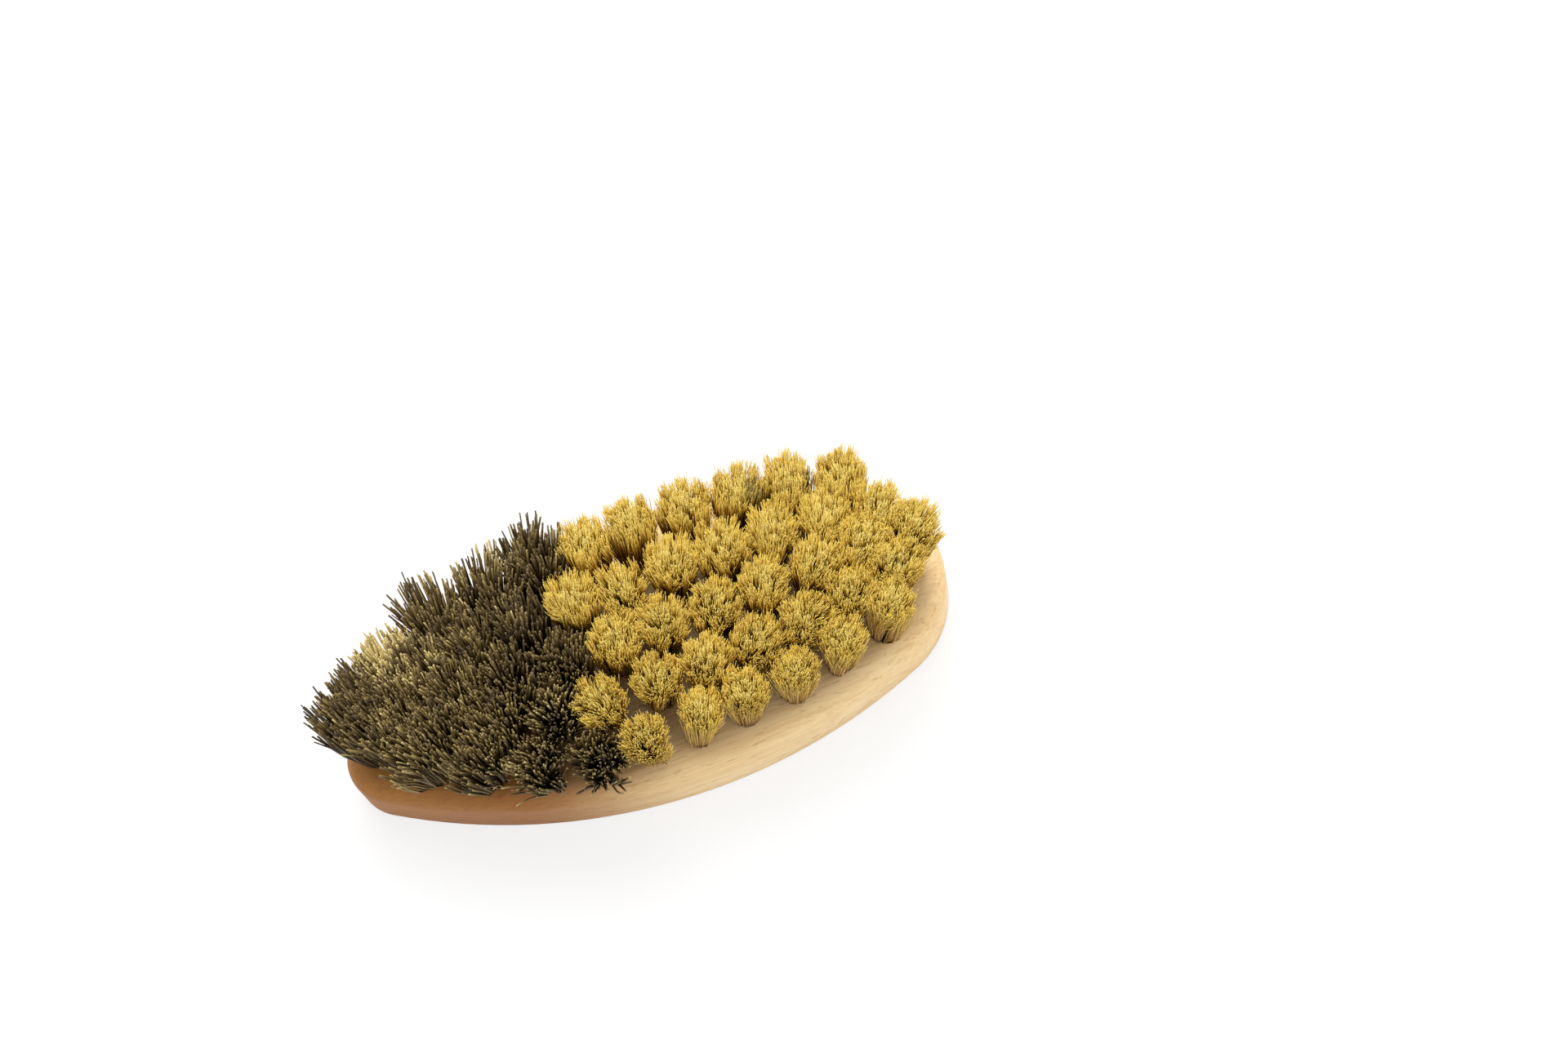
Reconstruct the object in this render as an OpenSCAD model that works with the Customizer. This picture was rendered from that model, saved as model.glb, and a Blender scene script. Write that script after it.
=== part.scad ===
// Vegetable brush: a palm-sized egg-shaped beech block with fibre tufts of two hardnesses.
// The flat back lies on z = 0, the tufts point up, and +X runs from the narrow nose to the broad end.

/* [Block] */
// Length of the block from nose to broad end
block_len = 135; // [120:1:150]
// Greatest width of the block
block_width = 57; // [52:1:64]
// Thickness of the block
block_thick = 18; // [16:0.5:22]
// Distance from the nose to the widest place
widest_from_nose = 75; // [68:1:82]
// Radius of the narrow nose, seen from above
nose_r = 9.75; // [9:0.25:13]
// Radius of the broad end, seen from above
end_r = 21; // [17:0.5:23]
// Rounding of the edge round the tufted face
edge_r = 5; // [3.5:0.5:5]
// Width of the broken edge round the flat back
back_edge = 0.6; // [0.4:0.1:1.2]

/* [Holes] */
// Distance from the outline to the outermost holes, across the brush and at its two ends
rim_inset = 7.5; // [7:0.25:9]
// Diameter of a tuft hole
hole_d = 4.4; // [3.8:0.1:4.6]
// Depth of a tuft hole along its own axis
hole_depth = 10; // [8:0.5:12]

/* [Tufts] */
// Height of the trimmed fibre tips above the wood
fibre_rise = 25; // [18:1:32]
// Greatest radius of a tuft at its tips
tuft_spread = 4; // [3:0.1:4.5]
// Thickness of a strand of fibres
strand_w = 1.1; // [0.8:0.05:1.2]
// Play between a folded tuft and its hole
tuft_play = 0.05; // [0.02:0.01:0.1]

/* [Anchors] */
// How far the flat wire anchor bites into the wood on each side of its hole
anchor_bite = 0.5; // [0.3:0.05:0.7]
// Height of the anchor
anchor_high = 2.2; // [1.6:0.1:3]
// Thickness of the anchor's flat wire
anchor_thick = 0.4; // [0.3:0.05:0.6]
// Thickness of the folded fibres under the anchor
fold_thick = 1; // [0.8:0.1:1.6]

/* [Lean] */
// Depth below the face of the line that the soft tufts point away from, across the brush
soft_fan_across = 150; // [120:5:240]
// The same depth along the brush, for the soft tufts
soft_fan_along = 450; // [350:10:600]
// The same depth across the brush, for the hard tufts
hard_fan_across = 80; // [75:5:120]
// The same depth along the brush, for the hard tufts
hard_fan_along = 140; // [130:5:200]

/* [Hidden] */
// Crosswise ranks of tufts. Ranks of three and of two take turns, with one tuft at each end.
ranks = 23;
// The ranks nearest the nose are hard fibre
hard_ranks = 9;
// A tuft is drawn as one strand in the middle and a ring of these
ring_strands = 6;
strand_sides = 3;
strand_gap = 0.25;
// Depth of a strand's root in the folded foot, and height of the foot above the wood
strand_root = 1;
mouth_rise = 0.4;
// Length by which a hole's cut stands out of the wood
hole_open = 4;
anchor_play = 0.03;
// The many holes, and the folded feet in them, have few sides so that the model stays light
hole_sides = 12;
round_fn = 48;
disc_fn = 240;

nose_x = nose_r - block_len / 2;
end_x = block_len / 2 - end_r;
wide_x = widest_from_nose - block_len / 2;
half_w = block_width / 2;
// Radii of the two long arcs that run from the widest place to the nose and to the end
flank_r = side_radius(wide_x - nose_x, nose_r);
shoulder_r = side_radius(end_x - wide_x, end_r);
rank_step = (block_len - 2 * rim_inset) / (ranks - 1);
border_x = rank_x(hard_ranks) - rank_step / 2;
plug_r = hole_d / 2 - tuft_play;
anchor_len = hole_d + 2 * anchor_bite;
far = 2 * block_len;

PLACES = ["right", "mid", "left"];
TUFTS = [
    for (rank = [0 : ranks - 1])
        for (side = rank_sides(rank))
            [rank, side]
];
TIPS = [for (t = TUFTS) tuft_tip(t)];

function side_radius(run, r) = (run * run + half_w * half_w - r * r) / (2 * (half_w - r));
function two_digits(n) = n < 10 ? str("0", n) : str(n);

// Half the block's width at a distance x from its middle
function arc_y(x, middle, r) = sqrt(max(r * r - (x - middle) * (x - middle), 0));
function nose_meets() = nose_x + nose_r * (nose_x - wide_x) / (flank_r - nose_r);
function end_meets() = end_x + end_r * (end_x - wide_x) / (shoulder_r - end_r);
function half_width(x) =
    x < nose_meets() ? arc_y(x, nose_x, nose_r)
    : x < wide_x ? arc_y(x, wide_x, flank_r) - (flank_r - half_w)
    : x < end_meets() ? arc_y(x, wide_x, shoulder_r) - (shoulder_r - half_w)
    : arc_y(x, end_x, end_r);

// A tuft is [rank, side], with side from -1 at the right rim to 1 at the left rim
function rank_sides(rank) =
    rank == 0 || rank == ranks - 1 ? [0]
    : rank % 2 == 0 ? [-1, 0, 1]
    : [-0.5, 0.5];
function rank_x(rank) = rim_inset - block_len / 2 + rank * rank_step;
function is_hard(t) = t[0] < hard_ranks;
function tuft_name(t) =
    str(is_hard(t) ? "hard" : "soft", "_tuft_", two_digits(t[0] + 1), "_", PLACES[sign(t[1]) + 1]);
function tuft_mouth(t) =
    let (x = rank_x(t[0]))
    [x, t[1] * (half_width(x) - rim_inset), block_thick];
// How far a tuft leans out for each millimetre that it rises
function tuft_lean(t) =
    let (m = tuft_mouth(t))
    is_hard(t)
        ? [(m[0] - border_x) / hard_fan_along, m[1] / hard_fan_across, 1]
        : [(m[0] - border_x) / soft_fan_along, m[1] / soft_fan_across, 1];
function tuft_axis(t) = let (v = tuft_lean(t)) v / norm(v);
function tuft_tip(t) = tuft_mouth(t) + fibre_rise * tuft_lean(t);
// Radius of a tuft at its tips, kept clear of the next tuft
function tip_room(t) =
    let (tip = tuft_tip(t))
    min([for (other = TIPS) if (norm(other - tip) > 0.01) norm(other - tip)]);
function tip_r(t) = min(tuft_spread, tip_room(t) / 2) - strand_w / 2 - strand_gap;

// Puts its children at a hole's mouth with +Z along the hole's axis
module at_tuft(t) {
    axis = tuft_axis(t);
    translate(tuft_mouth(t))
        rotate([0, acos(axis[2]), atan2(axis[1], axis[0])])
            rotate([0, 0, -atan2(axis[1], axis[0])])
                children();
}

// Section of the block's rim from an arc's centre outwards, with the rounded upper edge
module rim_section(r) {
    difference() {
        square([r, block_thick]);
        translate([r - edge_r, block_thick - edge_r])
            square(far);
        translate([r, 0])
            rotate(45)
                square(back_edge * sqrt(2), center = true);
    }
    translate([r - edge_r, block_thick - edge_r])
        intersection() {
            circle(edge_r, $fn = round_fn);
            square(edge_r);
        }
}

// Solid disc whose rim has that section
module rim_disc(r, x, y) {
    translate([x, y, 0])
        rotate_extrude($fn = disc_fn)
            rim_section(r);
}

// Half of the block on one side of the widest place: two long arcs, and a small arc that closes them
module block_half(arc_r, tip_x, small_r) {
    drop = arc_r - half_w;
    out = tip_x > wide_x ? 1 : -1;
    // The arcs meet on a line from the long arc's centre through the small arc's centre
    reach = [tip_x - wide_x, drop] * far / (arc_r - small_r);
    meet_up = [tip_x, 0] + reach;
    meet_down = [tip_x, 0] + [reach[0], -reach[1]];
    intersection() {
        rim_disc(arc_r, wide_x, drop);
        rim_disc(arc_r, wide_x, -drop);
        linear_extrude(block_thick)
            polygon([[wide_x, -far], [wide_x, far], meet_up, [tip_x, 0], meet_down]);
    }
    intersection() {
        rim_disc(small_r, tip_x, 0);
        linear_extrude(block_thick)
            polygon([[tip_x, 0], meet_up, [tip_x + out * far, 0], meet_down]);
    }
}

// A rod from the foot of a hole upwards, with flats where the anchor goes through
module hole_rod(t, high, r) {
    at_tuft(t)
        translate([0, 0, -hole_depth])
            rotate([0, 0, 180 / hole_sides])
                cylinder(h = high, r = r, $fn = hole_sides);
}

// Flat wire on edge across the foot of a hole, along the brush, with the fibres folded under it
module anchor_bar(t, play) {
    at_tuft(t)
        translate([0, 0, fold_thick + anchor_high / 2 - hole_depth])
            cube([anchor_len + 2 * play, anchor_thick + 2 * play, anchor_high + 2 * play], center = true);
}

module block() {
    color("#e5c68f")
        difference() {
            union() {
                block_half(flank_r, nose_x, nose_r);
                block_half(shoulder_r, end_x, end_r);
            }
            for (t = TUFTS) {
                hole_rod(t, hole_depth + hole_open, hole_d / 2);
                anchor_bar(t, anchor_play);
            }
        }
}

module anchors() {
    color("#c9a24a")
        for (t = TUFTS)
            anchor_bar(t, 0);
}

// One strand: a ring of points inside the folded foot and another at the trimmed tip
function strand_ring(middle, turn) =
    [for (i = [0 : strand_sides - 1])
        let (a = turn + i * 360 / strand_sides)
        middle + strand_w / 2 * [cos(a), sin(a), 0]];

module strand(foot, tip, turn) {
    n = strand_sides;
    sides = [for (i = [0 : n - 1])
        let (j = (i + 1) % n)
        each [[i, i + n, j + n], [i, j + n, j]]];
    foot_face = [for (i = [1 : n - 2]) [0, i, i + 1]];
    tip_face = [for (i = [1 : n - 2]) [n, n + i + 1, n + i]];
    polyhedron(
        points = concat(strand_ring(foot, turn), strand_ring(tip, turn)),
        faces = concat(sides, foot_face, tip_face)
    );
}

// A bundle of fibres, folded round its anchor in the hole and fanned out above the wood
module tuft(t) {
    color(is_hard(t) ? "#57492f" : "#cdb045") {
        lean = tuft_lean(t);
        mouth = tuft_mouth(t);
        foot_r = plug_r - strand_w / 2 - strand_gap;
        open_r = tip_r(t);
        difference() {
            hole_rod(t, hole_depth + mouth_rise, plug_r);
            anchor_bar(t, anchor_play);
        }
        for (i = [0 : ring_strands]) {
            // The last strand is the one in the middle
            share = i == ring_strands ? 0 : 1;
            turn = i * 360 / ring_strands;
            out = share * [cos(turn), sin(turn), 0];
            // Below the wood's face the flare runs on towards the middle of the foot
            root_r = foot_r - (open_r - foot_r) * strand_root / fibre_rise;
            strand(
                mouth - strand_root * lean + root_r * out,
                mouth + fibre_rise * lean + open_r * out,
                turn
            );
        }
    }
}

block();
anchors();
for (t = TUFTS)
    tuft(t);
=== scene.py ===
# %% [markdown]
# # A vegetable brush with fibre of two hardnesses
# The real brush is one egg-shaped block of beech with 54 blind holes. A bundle of plant fibre is
# folded over a piece of flat wire and driven into each hole, and the whole field is then trimmed
# flat. The frame holds the block, the wire anchors and a plain solid for each tuft. This script
# gives the block and the anchors their materials and grows real fibres in place of the solids.

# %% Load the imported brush
import math

import bmesh
import bpy
import numpy as np
from mathutils import Euler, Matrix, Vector


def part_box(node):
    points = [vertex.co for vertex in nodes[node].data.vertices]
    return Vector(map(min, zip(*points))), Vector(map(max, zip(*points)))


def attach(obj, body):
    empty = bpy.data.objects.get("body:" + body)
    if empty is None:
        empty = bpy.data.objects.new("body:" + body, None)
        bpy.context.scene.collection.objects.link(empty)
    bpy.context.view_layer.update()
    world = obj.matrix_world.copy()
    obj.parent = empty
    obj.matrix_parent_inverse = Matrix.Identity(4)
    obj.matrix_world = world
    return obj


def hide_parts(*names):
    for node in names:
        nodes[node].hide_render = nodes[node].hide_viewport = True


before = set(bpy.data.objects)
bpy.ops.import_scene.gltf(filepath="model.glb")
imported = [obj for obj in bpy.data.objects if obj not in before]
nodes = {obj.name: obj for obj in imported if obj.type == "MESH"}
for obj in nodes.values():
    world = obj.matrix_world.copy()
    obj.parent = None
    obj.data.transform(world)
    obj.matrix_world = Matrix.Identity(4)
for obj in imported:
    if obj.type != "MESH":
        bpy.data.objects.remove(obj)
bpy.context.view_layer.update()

# Blender works in metres, and the sizes below are given in millimetres
MM = 0.001
tuft_names = sorted(name for name in nodes if "_tuft_" in name)
print("tufts in the frame:", len(tuft_names))

# %% [markdown]
# ## Camera
# The photograph looks down on the brush from a steep angle, with a long lens, and the brush lies
# slantwise in the picture. The camera could be set by eye, but its place, turn and lens here come
# from matching the block's outline and the middles of the tufts, which fixes the angle too.

# %% Place the camera
CAMERA_PLACE = Vector((22.3, -217.9, 768.4)) * MM
CAMERA_TURN = [math.radians(a) for a in (16.654, 5.068, -20.394)]
LENS_MM = 84.25
# Nothing nearer or farther than this is drawn, in metres
NEAREST, FARTHEST = 0.01, 20

camera = bpy.data.objects.new("camera", bpy.data.cameras.new("camera"))
camera.data.lens = LENS_MM
camera.location = CAMERA_PLACE
camera.rotation_euler = Euler(CAMERA_TURN)
camera.data.clip_start, camera.data.clip_end = NEAREST, FARTHEST
bpy.context.scene.collection.objects.link(camera)
bpy.context.scene.camera = camera
print("camera height in mm:", round(CAMERA_PLACE.z / MM))

# %% [markdown]
# ## Colours, nodes and materials
# Colours are written as the hex values that a picture editor shows, and one function turns them
# into the linear light that shaders work in. One more function adds a node, gives it its settings
# and fills its sockets, so that each material below reads as a short recipe. Two small ones start
# a material and put it on a piece of the frame.

# %% Turn a colour into light
def linear(hex_colour):
    """An sRGB hex colour as linear red, green, blue and full alpha."""
    parts = [int(hex_colour[i:i + 2], 16) / 255 for i in (1, 3, 5)]
    return [c / 12.92 if c <= 0.04045 else ((c + 0.055) / 1.055) ** 2.4 for c in parts] + [1.0]


WHITE = linear("#ffffff")
print("middle grey as linear light:", round(linear("#808080")[0], 3))

# %% Add a node
# A Mix node has sockets for each sort of value. These are the numbers of the ones for colours.
SHARE, UNDER, OVER, MIXED = 0, 6, 7, 2
BLEND = dict(data_type="RGBA")
MULTIPLY = dict(data_type="RGBA", blend_type="MULTIPLY")
print("colour sockets of a Mix node:", UNDER, "and", OVER)


def add_node(tree, kind, sockets=None, stops=(), **settings):
    """Adds a node. A value in sockets that is itself a socket is linked, and any other is set.

    The stops of a colour ramp are pairs of a place from 0 to 1 and a hex colour.
    """
    made = tree.nodes.new("ShaderNode" + kind)
    for name, value in settings.items():
        setattr(made, name, value)
    while stops and len(made.color_ramp.elements) < len(stops):
        made.color_ramp.elements.new(0.5)
    for number, (place, colour) in enumerate(stops):
        step = made.color_ramp.elements[number]
        step.position, step.color = place, linear(colour)
    for name, value in (sockets or {}).items():
        if isinstance(value, bpy.types.NodeSocket):
            tree.links.new(value, made.inputs[name])
        else:
            made.inputs[name].default_value = value
    return made


# %% Start a material and put it on
def new_material(name, **shader):
    """A node material and its Principled shader, with the shader's own sockets set."""
    made = bpy.data.materials.new(name)
    made.use_nodes = True
    surface = made.node_tree.nodes["Principled BSDF"]
    for socket, value in shader.items():
        surface.inputs[socket.replace("_", " ")].default_value = value
    return made, made.node_tree, surface


def wear(node_name, material):
    """Gives a CAD node's object a material in every slot."""
    slots = nodes[node_name].material_slots
    for one in slots:
        one.material = material
    print(node_name, "wears", material.name, "in", len(slots), "slot(s)")


print("slots to fill:", {name: len(nodes[name].material_slots) for name in ("block", "anchors")})

# %% [markdown]
# ## Floor
# The brush was photographed on white. A floor bright enough to render white would need so much
# light that the brush turned pale. So the floor has its own glow, but only for the rays that show
# it to the camera, in gloss or through glass. The rest of it is matt paper, which has no gloss
# and takes the brush's shadow.

# %% Lay the floor
FLOOR_SIZE = 6.0
# It lies this much below the block, so that the two faces don't fight
FLOOR_GAP = 0.02 * MM

floor_shape = bmesh.new()
bmesh.ops.create_grid(floor_shape, x_segments=1, y_segments=1, size=FLOOR_SIZE / 2)
bmesh.ops.translate(floor_shape, vec=(0, 0, -FLOOR_GAP), verts=floor_shape.verts)
floor_mesh = bpy.data.meshes.new("floor")
floor_shape.to_mesh(floor_mesh)
floor_shape.free()
floor = bpy.data.objects.new("floor", floor_mesh)
bpy.context.scene.collection.objects.link(floor)
print("floor in m:", FLOOR_SIZE, "by", FLOOR_SIZE)

# %% Make the paper
FLOOR_COLOUR = "#fcfcfc"
# Share of the floor's look that is its own glow
FLOOR_GLOW = 0.72


def seen_rays(tree):
    """A socket that is 1 for the rays that show what lies behind the brush."""
    path = add_node(tree, "LightPath")
    seen = path.outputs["Is Camera Ray"]
    for other in ("Is Glossy Ray", "Is Transmission Ray"):
        either = add_node(tree, "Math", {0: seen, 1: path.outputs[other]}, operation="MAXIMUM")
        seen = either.outputs[0]
    return seen


paper, tree, shader = new_material("matt white paper", Roughness=0.9)
shader.inputs["Base Color"].default_value = linear(FLOOR_COLOUR)
glow = add_node(tree, "Emission", {"Color": WHITE, "Strength": 1.0})
glowing = add_node(tree, "Math", {0: seen_rays(tree), 1: FLOOR_GLOW}, operation="MULTIPLY")
both = add_node(
    tree, "MixShader", {"Fac": glowing.outputs[0], 1: shader.outputs[0], 2: glow.outputs[0]},
)
tree.links.new(both.outputs[0], tree.nodes["Material Output"].inputs["Surface"])
floor_mesh.materials.append(paper)
print("floor wears", paper.name)

# %% [markdown]
# ## Light
# The light comes from all round, with a large soft source above and behind the brush. The tips of
# the tufts catch it and their feet stay dark. One lamp could do, but its shadow would be hard and
# black. So a plain white sky fills the shadows, a soft box stands behind, and a weak one in front.

# %% Hang the lamps
def soft_box(name, place, size, watts):
    """A square lamp that faces the middle of the brush."""
    lamp = bpy.data.objects.new(name, bpy.data.lights.new(name, "AREA"))
    lamp.data.size, lamp.data.energy = size, watts
    lamp.location = place
    lamp.rotation_euler = (-Vector(place)).to_track_quat("-Z", "Y").to_euler()
    bpy.context.scene.collection.objects.link(lamp)


soft_box("overhead_lamp", place=(0.1, 0.45, 0.85), size=0.6, watts=7.8)
soft_box("right_lamp", place=(0.9, -0.5, 0.55), size=0.8, watts=2.0)

# %% Light the sky
# The sky lights the brush at this strength, and shows white to the camera
SKY_STRENGTH = 0.8

sky = bpy.data.worlds.new("studio")
sky.use_nodes = True
tree = sky.node_tree
sky_light = add_node(
    tree, "MapRange", {"Value": seen_rays(tree), "To Min": SKY_STRENGTH, "To Max": 1.0},
)
tree.nodes["Background"].inputs["Color"].default_value = WHITE
tree.links.new(sky_light.outputs[0], tree.nodes["Background"].inputs["Strength"])
bpy.context.scene.world = sky
bpy.context.scene.view_settings.view_transform = "Standard"
print("sky:", sky.name, "at", SKY_STRENGTH)

# %% [markdown]
# ## The beech block
# The block is sawn, shaped and sanded from one piece of beech and left without varnish. Beech is
# pale tan with straight fine grain along the length and short brown flecks. Its narrow end is
# painted a darker orange brown, partly warmer wood and partly painted shade and painted brown
# reflection of the dark tufts above it. The block's own CAD shape is right, so it only needs its
# material: broad bands, grain lines, flecks and a very fine sanded surface. A picture of wood
# would stretch on the rounded edge, so noise in the block's own space is drawn out along it.

# %% Draw noise out along a piece
def stretched_noise(tree, width_mm, stretch, detail, roughness=0.5):
    """Noise in marks of that width, which are so many times longer, along the piece."""
    place = add_node(tree, "TexCoord").outputs["Object"]
    scale = 1 / (width_mm * MM)
    turned = add_node(tree, "Mapping", {"Vector": place, "Scale": (scale / stretch, scale, scale)})
    noise = add_node(
        tree, "TexNoise",
        {"Vector": turned.outputs[0], "Scale": 1.0, "Detail": detail, "Roughness": roughness},
    )
    return noise.outputs["Fac"]


# Width of each mark in mm, and how many times longer it is. The pores of beech are too fine to
# show, so the grain and the sanding marks are drawn coarser than the real ones.
BAND, GRAIN, FLECK, SANDING = (9.0, 9.0), (0.9, 30.0), (0.55, 6.0), (0.25, 3.0)
print("grain lines in mm:", GRAIN[0], "wide and", GRAIN[0] * GRAIN[1], "long")

# %% Colour the wood
# How strongly the grain lines and the flecks darken the bands
GRAIN_SHARE, FLECK_SHARE = 0.25, 0.35

# Sanded bare beech scatters the light and has only a dull, wide sheen
beech, tree, shader = new_material("sanded beech", Roughness=0.62)
bands = add_node(
    tree, "ValToRGB", {"Fac": stretched_noise(tree, *BAND, detail=3)},
    stops=[(0.3, "#e0bc84"), (0.52, "#e9ca94"), (0.75, "#efd5a4")],
)
grain = add_node(
    tree, "ValToRGB", {"Fac": stretched_noise(tree, *GRAIN, detail=4, roughness=0.6)},
    stops=[(0.38, "#c79c63"), (0.55, "#ffffff")],
)
flecks = add_node(
    tree, "ValToRGB", {"Fac": stretched_noise(tree, *FLECK, detail=1)},
    stops=[(0.64, "#ffffff"), (0.72, "#b98a55")],
)
wood = bands.outputs["Color"]
for share, marks in ((GRAIN_SHARE, grain), (FLECK_SHARE, flecks)):
    layers = {SHARE: share, UNDER: wood, OVER: marks.outputs["Color"]}
    wood = add_node(tree, "Mix", layers, **MULTIPLY).outputs[MIXED]
print("nodes in the wood so far:", len(tree.nodes))

# %% Paint shade on the nose and a thin shadow along the back edge
# The nose's painted shade and painted brown reflection, partly warmer wood, comes in between
# these two places along the block, in mm from its middle
NOSE_SHADE, NOSE_STARTS, NOSE_FULL = "#ac8038", 5, -36
# A thin painted shadow darkens the edge round the back, up to these heights in mm
EDGE_SHADOW, EDGE_SHADOW_SHARE, SHADOW_FULL, SHADOW_ENDS = "#8a7146", 0.45, 0.5, 0.9

places = add_node(tree, "SeparateXYZ", {"Vector": add_node(tree, "TexCoord").outputs["Object"]})
nose = add_node(
    tree, "MapRange",
    {"Value": places.outputs["X"], "From Min": NOSE_STARTS * MM, "From Max": NOSE_FULL * MM},
    interpolation_type="SMOOTHSTEP",
)
edge_shadow = add_node(
    tree, "MapRange",
    {"Value": places.outputs["Z"], "From Min": SHADOW_FULL * MM, "From Max": SHADOW_ENDS * MM,
     "To Min": EDGE_SHADOW_SHARE, "To Max": 0.0},
)
# Towards the nose the wood is multiplied by a brown: partly warmer wood, partly painted shade and
# painted brown reflection of the dark tufts
shaded = add_node(tree, "Mix", {SHARE: 1.0, UNDER: wood, OVER: linear(NOSE_SHADE)}, **MULTIPLY)
layers = {SHARE: nose.outputs[0], UNDER: wood, OVER: shaded.outputs[MIXED]}
wood = add_node(tree, "Mix", layers, **BLEND).outputs[MIXED]
# Painted shadow along the back edge, where the block meets the floor
layers = {SHARE: edge_shadow.outputs[0], UNDER: wood, OVER: linear(EDGE_SHADOW)}
wood = add_node(tree, "Mix", layers, **BLEND).outputs[MIXED]
tree.links.new(wood, shader.inputs["Base Color"])
print("nose is browned over", NOSE_STARTS - NOSE_FULL, "mm")

# %% Sand the surface
SANDING_DEPTH = 0.05 * MM
SANDING_STRENGTH = 0.25

sanded = add_node(
    tree, "Bump",
    {"Height": stretched_noise(tree, *SANDING, detail=2), "Strength": SANDING_STRENGTH,
     "Distance": SANDING_DEPTH},
)
tree.links.new(sanded.outputs[0], shader.inputs["Normal"])
wear("block", beech)

# %% [markdown]
# ## The wire anchors
# Each anchor is a short length of drawn flat brass wire. It lies at the foot of its hole under
# more than 6 mm of fibre. Scratches could be modelled, but nobody sees them there, so it gets
# only the plain look of drawn brass: fine streaks along the wire.

# %% Make the brass
# Streaks of drawing, nine to the millimetre
STREAK = (1 / 9, 30.0)

# Drawn brass is bright and warm, and its streaks blur what it mirrors
brass, tree, shader = new_material("drawn brass wire", Metallic=1.0, Roughness=0.35)
streaks = add_node(
    tree, "ValToRGB", {"Fac": stretched_noise(tree, *STREAK, detail=2)},
    stops=[(0.3, "#b8923f"), (0.7, "#d9b867")],
)
tree.links.new(streaks.outputs["Color"], shader.inputs["Base Color"])
wear("anchors", brass)

# %% [markdown]
# ## Fibre materials
# The soft tufts are pale golden leaf fibre and the hard ones a mixture of dark brown palm fibre
# with some khaki. A fibre's colour is painted darker towards its foot, as painted shade among the
# fibres, and paler towards its cut tip, as painted highlight, and the outermost fibres of a tuft
# get more painted shade. Each colour could have its own material, but there would be dozens of
# them. Instead every fibre carries three numbers in an attribute named fibre: how far along it a
# point is, made lower at the tuft's rim as painted shade, its own random tone, and whether it is
# an odd one of the other colour. The material turns those into its colour.

# %% Make the two fibre materials
# Share of its tuft's usual colour that an odd fibre keeps
ODD_KEEPS = 0.4


def fibre_material(name, along_stops, tone_stops, tone_share, odd_colour):
    """Fibre whose colour runs along its length and differs from one fibre to the next."""
    made, tree, shader = new_material(name, Roughness=0.65)
    numbers = add_node(tree, "Attribute", attribute_name="fibre")
    parts = add_node(tree, "SeparateColor", {"Color": numbers.outputs["Color"]}).outputs
    along = add_node(tree, "ValToRGB", {"Fac": parts["Red"]}, along_stops).outputs["Color"]
    tone = add_node(tree, "ValToRGB", {"Fac": parts["Green"]}, tone_stops).outputs["Color"]
    layers = {SHARE: tone_share, UNDER: along, OVER: tone}
    usual = add_node(tree, "Mix", layers, **MULTIPLY).outputs[MIXED]
    layers = {SHARE: ODD_KEEPS, UNDER: linear(odd_colour), OVER: usual}
    odd = add_node(tree, "Mix", layers, **BLEND).outputs[MIXED]
    layers = {SHARE: parts["Blue"], UNDER: usual, OVER: odd}
    coloured = add_node(tree, "Mix", layers, **BLEND)
    tree.links.new(coloured.outputs[MIXED], shader.inputs["Base Color"])
    print(name, "has", len(along_stops), "colours along it and", len(tone_stops), "tones")
    return made


# Leaf fibre looks waxy but dull: painted pale yellow towards its tips as painted highlight, and
# painted brown where it comes out of the wood as painted shade
golden_fibre = fibre_material(
    "golden leaf fibre",
    along_stops=[
        (0.0, "#553a1a"), (0.12, "#8a6230"), (0.3, "#c49b4a"),
        (0.65, "#e4c05a"), (0.9, "#f0d870"), (1.0, "#f8e996"),
    ],
    tone_stops=[(0.0, "#bca678"), (0.3, "#e6dab0"), (0.7, "#fff8d8"), (1.0, "#ffffff")],
    tone_share=0.32, odd_colour="#4a3418",
)
# Palm fibre looks dark and dry, and no two fibres of a tuft have the same brown
dark_fibre = fibre_material(
    "dark palm fibre",
    # Along its length palm fibre is painted darker towards the foot, as painted shade
    along_stops=[(0.0, "#a89c88"), (0.6, "#d8d0c0"), (1.0, "#ffffff")],
    tone_stops=[
        (0.0, "#352610"), (0.35, "#584622"), (0.6, "#7c683a"), (0.8, "#a49157"), (1.0, "#ccbd84"),
    ],
    tone_share=1.0, odd_colour="#ecd690",
)

# %% [markdown]
# ## A bundle of straight fibres
# A fibre is a thin rod. A hair system would draw it, but the export keeps only meshes. So one rod
# is built, three-sided to stay light, and cut across so that it can bend. It is then copied into a
# bundle of straight rods, and each tuft bends its own copy of that bundle. The rod's sides each get
# a strip of the map named OFBake and its two ends lie above them. Each copy gets its own cell.

# %% Tell the rod's faces apart
SIDES = 3
# Each side is cut across into this many lengths
STEPS = 3


def is_side(face):
    """Whether a face of the rod is one of its sides, and not an end."""
    return abs(face.normal.z) < 0.5


def facing(face):
    """The way a side of the rod faces, as an angle."""
    return round(math.atan2(face.normal.y, face.normal.x), 3)


print("sides:", SIDES, "in", STEPS, "lengths")

# %% Build the straight fibre
# On the map, which is 1 by 1, the sides' strips reach up to STRIP_TOP and are filled nearly to
# their full width. The two ends lie above them, at these heights.
STRIP_TOP, STRIP_FILL = 0.86, 0.9
END_PLACES = {-1: 0.90, 1: 0.96}
END_WIDE, END_HIGH = 0.3, 0.025


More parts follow.
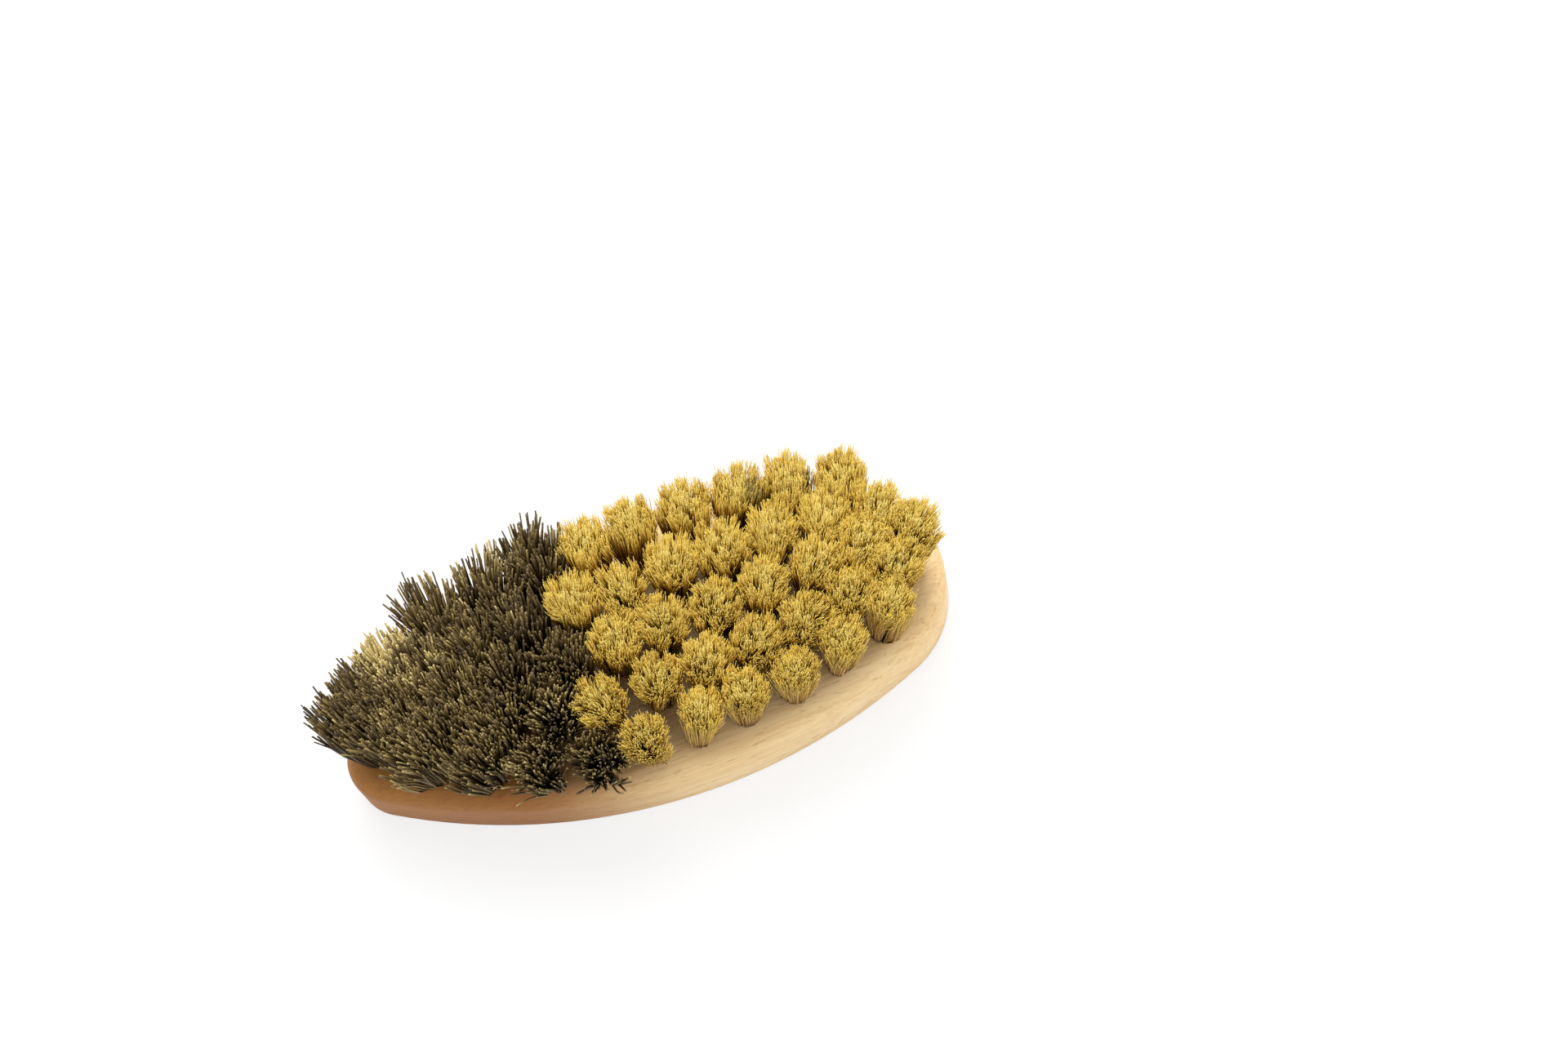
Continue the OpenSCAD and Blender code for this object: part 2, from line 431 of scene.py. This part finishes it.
def straight_fibre():
    """A rod of radius 1 from z = 0 to z = 1, in a bmesh with the map of its faces."""
    rod = bmesh.new()
    bmesh.ops.create_cone(rod, cap_ends=True, segments=SIDES, radius1=1, radius2=1, depth=1)
    bmesh.ops.translate(rod, vec=(0, 0, 0.5), verts=rod.verts)
    for step in range(1, STEPS):
        whole = rod.verts[:] + rod.edges[:] + rod.faces[:]
        bmesh.ops.bisect_plane(rod, geom=whole, plane_co=(0, 0, step / STEPS), plane_no=(0, 0, 1))
    rod.normal_update()
    side_width = 2 * math.sin(math.pi / SIDES)
    uv = rod.loops.layers.uv.new("OFBake")
    turns = sorted({facing(face) for face in rod.faces if is_side(face)})
    for face in rod.faces:
        face.smooth = is_side(face)
        if not is_side(face):
            middle = END_PLACES[round(face.normal.z)]
            for loop in face.loops:
                spot = loop.vert.co
                loop[uv].uv = (0.5 + END_WIDE * spot.x, middle + END_HIGH * spot.y)
            continue
        strip = turns.index(facing(face))
        across = face.normal.cross(Vector((0, 0, 1)))
        for loop in face.loops:
            share = 0.5 + STRIP_FILL * loop.vert.co.dot(across) / side_width
            loop[uv].uv = ((strip + share) / SIDES, loop.vert.co.z * STRIP_TOP)
    return rod


trial = straight_fibre()
print("one fibre:", len(trial.verts), "corners and", len(trial.faces), "faces")
trial.free()

# %% Copy it into a bundle
def straight_bundle(count):
    """A mesh of that many rods in one place, each with its number and its own cell of the map."""
    bundle = straight_fibre()
    uv = bundle.loops.layers.uv["OFBake"]
    numbered = bundle.verts.layers.int.new("number")
    bundle.verts.layers.float_color.new("fibre")
    cells = math.ceil(math.sqrt(count))
    pattern = bundle.verts[:] + bundle.edges[:] + bundle.faces[:]
    for number in range(1, count):
        corner = Vector((number % cells, number // cells))
        for part in bmesh.ops.duplicate(bundle, geom=pattern)["geom"]:
            if isinstance(part, bmesh.types.BMVert):
                part[numbered] = number
            elif isinstance(part, bmesh.types.BMFace):
                for loop in part.loops:
                    loop[uv].uv += corner
    for face in bundle.faces:
        for loop in face.loops:
            loop[uv].uv /= cells
    mesh = bpy.data.meshes.new("bundle_of_%d" % count)
    bundle.to_mesh(mesh)
    bundle.free()
    return mesh


trial = straight_bundle(10)
print("ten fibres:", len(trial.polygons), "faces")
bpy.data.meshes.remove(trial)

# %% [markdown]
# ## The two kinds of tuft
# A dark tuft has fewer, thicker and wilder fibres than a golden one. Both are described by the
# same few numbers, so that one function can grow them. Sizes are in millimetres, and a pair is
# along and across the brush:
#
# - count, radius: how many fibres a tuft has, and the radius of one. Real fibres are finer and
#   more in number than a light mesh can hold.
# - foot, head: radius of the tuft in its hole and at its tips.
# - dome, uneven: how much lower the tips at its rim are, and how unevenly the tips end.
# - locks, draw: how many locks it has, and what share of the way the fibres draw in to them.
# - stray, bow: how far a tip strays, and how far the middle of a fibre bends out.
# - flare, late: below 1, flare makes the fibres fan out early. The share late does so at the tips.
# - rim_shade: what share of its brightness an outermost fibre loses, as painted shade.
# - lean, sweep: share of the plain tuft's lean that is kept, and what is added to all of them.
# - skew: what is added along per mm off the middle line, and across per mm off the border.

# %% Describe them
KINDS = {
    "soft": dict(
        count=1300, radius=0.1, foot=2.1, head=6.0, dome=1.0, uneven=2.0, locks=19, draw=0.45,
        stray=0.5, bow=0.5, flare=0.6, late=0.22, rim_shade=0.16,
        lean=(0.5, 0.6), sweep=(1.4, -0.6), skew=(0.055, 0.0),
    ),
    "hard": dict(
        count=270, radius=0.3, foot=2.0, head=6.9, dome=3.3, uneven=2.2, locks=13, draw=0.36,
        stray=0.9, bow=0.6, flare=0.42, late=0.25, rim_shade=0.1,
        lean=(0.65, 0.8), sweep=(2.0, -0.6), skew=(0.0, -0.15),
    ),
}
bundles = {sort: straight_bundle(kind["count"]) for sort, kind in KINDS.items()}
for sort, mesh in bundles.items():
    print(sort, "bundle:", len(mesh.polygons), "faces")

# %% [markdown]
# ## Where each tuft stands
# The frame's plain tufts already stand in their holes with the right lean, so the fibres follow
# them and no place is written twice. The middle line of a tuft runs through the middle of its foot
# in the hole and the middle of its trimmed tips.

# %% Read each tuft's middle line
# The fibres start this deep in the wood, and tips this near the top count as trimmed
SINK = 3 * MM
TRIM_PLAY = 0.01 * MM
wood_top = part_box("block")[1].z
tip_height = max(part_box(name)[1].z for name in tuft_names)


def mean_place(points):
    """The middle of some points, with doubles counted once."""
    places = {tuple(round(c, 6) for c in p) for p in points}
    return sum((Vector(p) for p in places), Vector()) / len(places)


def middle_line(name):
    """Where a tuft's middle line leaves the wood, and where it ends."""
    corners = [v.co for v in nodes[name].data.vertices]
    foot = mean_place(c for c in corners if c.z < wood_top - SINK)
    tip = mean_place(c for c in corners if c.z > tip_height - TRIM_PLAY)
    rise = (wood_top - foot.z) / (tip.z - foot.z)
    return foot.lerp(tip, rise), tip


lines = {name: middle_line(name) for name in tuft_names}
leans = [math.degrees((tip - mouth).angle((0, 0, 1))) for mouth, tip in lines.values()]
print("widest lean in degrees:", round(max(leans), 1))

# %% [markdown]
# ## Rows that differ
# The tufts along the rim don't look like those in the middle. The golden ones on the left stand
# like slim columns, and those on the right, past the border, are smaller and turn in over the
# wood. The dark ones on the left spread wide and flat. A row's numbers take the place of its
# kind's. A real brush also has a few fibres of the other colour, and now and then a whole lock or
# tuft of them. Chance alone would spread them too evenly, so those locks are named.

# %% Find the rows
# Turned moves the tips of a row along and across the brush, in mm
ROWS = {
    "soft_left": dict(head=5.6, flare=0.3, late=0.1),
    "soft_right": dict(head=4.9, turned=(1.2, 1.9)),
    "hard_left": dict(head=8.2, dome=1.5, turned=(1.8, 1.2)),
}
# A tuft belongs to the rim this far off the middle line, in mm. The golden row on the right
# starts as far past the border between dark and golden.
OUTER = 12

mouths = {name: mouth / MM for name, (mouth, tip) in lines.items()}
soft_x = [m.x for name, m in mouths.items() if name.startswith("soft")]
hard_x = [m.x for name, m in mouths.items() if name.startswith("hard")]
border = (min(soft_x) + max(hard_x)) / 2


def rim_row(name):
    """The row of the rim that a tuft stands in, or an empty name."""
    sort, _, _, side = name.split("_")
    row, mouth = sort + "_" + side, mouths[name]
    if abs(mouth.y) <= OUTER or (row == "soft_right" and mouth.x <= border + OUTER):
        return ""
    return row


for row in ROWS:
    print(row, "tufts:", sum(rim_row(name) == row for name in tuft_names))

# %% Choose the odd fibres
# Share of odd fibres in a usual lock. A few tufts have locks, by number, with a larger share.
ODD_SHARE = 0.004
MORE_ODD = {
    "hard_tuft_03_left": (range(13), 1.0),
    "hard_tuft_04_left": (range(5, 13), 0.8),
    "hard_tuft_05_left": ((11, 12), 0.6),
    "hard_tuft_07_left": ((11, 12), 0.7),
    "soft_tuft_17_left": ((5, 10, 18), 0.8),
    "soft_tuft_19_left": ((13, 18), 0.6),
}
print("locks with many odd fibres:", sum(len(locks) for locks, _ in MORE_ODD.values()))

# %% [markdown]
# ## Growing a tuft
# Each tuft could be one brush-shaped lump with a bump pattern, but its outline and its tips would
# stay too neat. So it is grown from separate fibres. They are spread evenly over the hole, fan out
# towards the tips, draw together a little into locks, bow each in its own way, and end at slightly
# different heights. Every tuft has its own seeded dice, so it grows the same on each run.

# %% Spread places over a circle
GOLDEN_TURN = math.pi * (3 - math.sqrt(5))


def even_spread(count):
    """Places spread evenly over a unit circle, as seeds are over a sunflower."""
    turn = np.arange(count) * GOLDEN_TURN
    out = np.sqrt((np.arange(count) + 0.5) / count)
    return np.column_stack([out * np.cos(turn), out * np.sin(turn)])


def level(pairs):
    """Pairs of x and y as places at height 0."""
    return np.pad(pairs, ((0, 0), (0, 1)))


print("outermost of 100 places:", round(float(np.linalg.norm(even_spread(100)[-1])), 3))

# %% Set how much tufts and fibres differ
# Tufts of one kind differ in where their tips are, in mm, and by a factor in their width
TUFT_STRAY, TUFT_WIDTH = 0.55, (0.92, 1.08)
# The middles of the locks stray and their borders fray by these shares of the tuft's radius
LOCK_STRAY, LOCK_FRAY = 0.08, 0.12
# Beside its lock's bow a fibre has its own, and its thickness varies by a factor in this range
OWN_BOW, THICKNESS = 0.5, (0.75, 1.25)
# Shares of a fibre's tone that are its own, its lock's and its tuft's
TONE_OWN, TONE_LOCK, TONE_TUFT = 0.5, 0.3, 0.2
print("thinnest golden fibre in mm:", round(2 * KINDS["soft"]["radius"] * THICKNESS[0], 2))

# %% Lay out the fibres of a tuft
def lay_out(name, kind, dice):
    """The numbers of each fibre, with sizes in mm. Its rim is 0 in the middle and 1 outermost."""
    count, locks = kind["count"], kind["locks"]
    mouth, head = (np.array(end) / MM for end in lines[name])
    lean = (head - mouth)[:2] * kind["lean"]
    head[:2] = mouth[:2] + lean + kind["sweep"] + dice.normal(0, TUFT_STRAY, 2)
    head[:2] += np.array([mouth[1], mouth[0] - border]) * kind["skew"]
    width = kind["head"] * dice.uniform(*TUFT_WIDTH, 2)
    head[:2] += kind.get("turned", (0, 0))

    spots = even_spread(count)
    rim = (spots ** 2).sum(axis=1)
    centres = even_spread(locks) + dice.normal(0, LOCK_STRAY, (locks, 2))
    apart = np.linalg.norm(spots[:, None] - centres[None], axis=2)
    lock = (apart + dice.uniform(0, LOCK_FRAY, (count, locks))).argmin(axis=1)
    drawn = spots + (centres[lock] - spots) * kind["draw"]

    down = (head - mouth) / np.linalg.norm(head - mouth) * SINK / MM
    foot = mouth - down + level(spots) * kind["foot"]
    tip = head + level(drawn * width + dice.normal(0, kind["stray"], (count, 2)))
    tip[:, 2] -= np.abs(dice.normal(0, kind["uneven"], count)) + kind["dome"] * rim
    bow = dice.normal(0, 1, (locks, 2))[lock] + dice.normal(0, OWN_BOW, (count, 2))
    thick = kind["radius"] * dice.uniform(*THICKNESS, count)
    turn = dice.uniform(0, math.tau, count)
    tone = TONE_OWN * dice.random(count) + TONE_LOCK * dice.random(locks)[lock]
    tone += TONE_TUFT * dice.random()
    odd_locks, odd_share = MORE_ODD.get(name, ((), 0))
    odd = dice.random(count) < np.where(np.isin(lock, odd_locks), odd_share, ODD_SHARE)
    return dict(
        foot=foot, tip=tip, bow=level(bow * kind["bow"]), thick=thick, turn=turn,
        tone=tone, odd=odd, rim=rim,
    )


tip_heights = lay_out(tuft_names[0], KINDS["hard"], np.random.default_rng(0))["tip"][:, 2]
print(tuft_names[0], "ends from", round(tip_heights.min()), "to", round(tip_heights.max()), "mm up")

# %% Bend the fibres
# A fibre fans out early, runs straight, and turns out once more near its tip. This is how late.
LATE_FLARE = 3
# Share of its thickness that a fibre loses up to its tip
TAPER = 0.3


def bend(corner, own, kind):
    """The corners of a straight bundle moved onto its bent fibres, in mm."""
    along = corner[:, 2:]
    out = (1 - kind["late"]) * along ** kind["flare"] + kind["late"] * along ** LATE_FLARE
    place = own["foot"] + (own["tip"] - own["foot"]) * np.hstack([out, out, along])
    # The bow is 0 at both ends and full half way
    place += own["bow"] * 4 * along * (1 - along)
    ring = own["thick"] * (1 - TAPER * along[:, 0])
    cos, sin = np.cos(own["turn"]), np.sin(own["turn"])
    place[:, 0] += ring * (corner[:, 0] * cos - corner[:, 1] * sin)
    place[:, 1] += ring * (corner[:, 0] * sin + corner[:, 1] * cos)
    return place


# %% Turn a bundle into a tuft
def values(mesh_data, name, width):
    """One number or vector for each part of a mesh, as rows."""
    flat = np.zeros(len(mesh_data) * width, dtype=np.float32)
    mesh_data.foreach_get(name, flat)
    return flat.reshape(-1, width)


def grow(name, kind, straight, material, dice):
    """One tuft of separate fibres round the middle line of a plain tuft."""
    kind = kind | ROWS.get(rim_row(name), {})
    plan = lay_out(name, kind, dice)
    mesh = straight.copy()
    mesh.name = name + "_fibres"
    corner = values(mesh.vertices, "co", 3)
    fibre = values(mesh.attributes["number"].data, "value", 1)[:, 0].astype(int)
    # Each corner gets the numbers of its own fibre
    own = {key: numbers[fibre] for key, numbers in plan.items()}
    mesh.vertices.foreach_set("co", (bend(corner, own, kind) * MM).ravel())
    # Painted shade and highlight: dark at the foot, pale at the tip, and darker at the tuft's rim
    bright = corner[:, 2] * (1 - kind["rim_shade"] * own["rim"])
    colour = np.column_stack([bright, own["tone"], own["odd"], np.ones(len(fibre))])
    mesh.attributes["fibre"].data.foreach_set("color", colour.ravel())
    mesh.attributes.remove(mesh.attributes["number"])
    mesh.materials.append(material)
    piece = bpy.data.objects.new(name + "_fibres", mesh)
    bpy.context.scene.collection.objects.link(piece)
    return piece


# %% Grow all the tufts
fibres = {"soft": golden_fibre, "hard": dark_fibre}
grown = []
for number, name in enumerate(tuft_names):
    sort = name.split("_")[0]
    piece = grow(name, KINDS[sort], bundles[sort], fibres[sort], np.random.default_rng(number))
    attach(piece, "root")
    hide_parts(name)
    grown.append(piece)
for mesh in bundles.values():
    bpy.data.meshes.remove(mesh)
print("tufts:", len(grown), "faces:", sum(len(p.data.polygons) for p in grown))
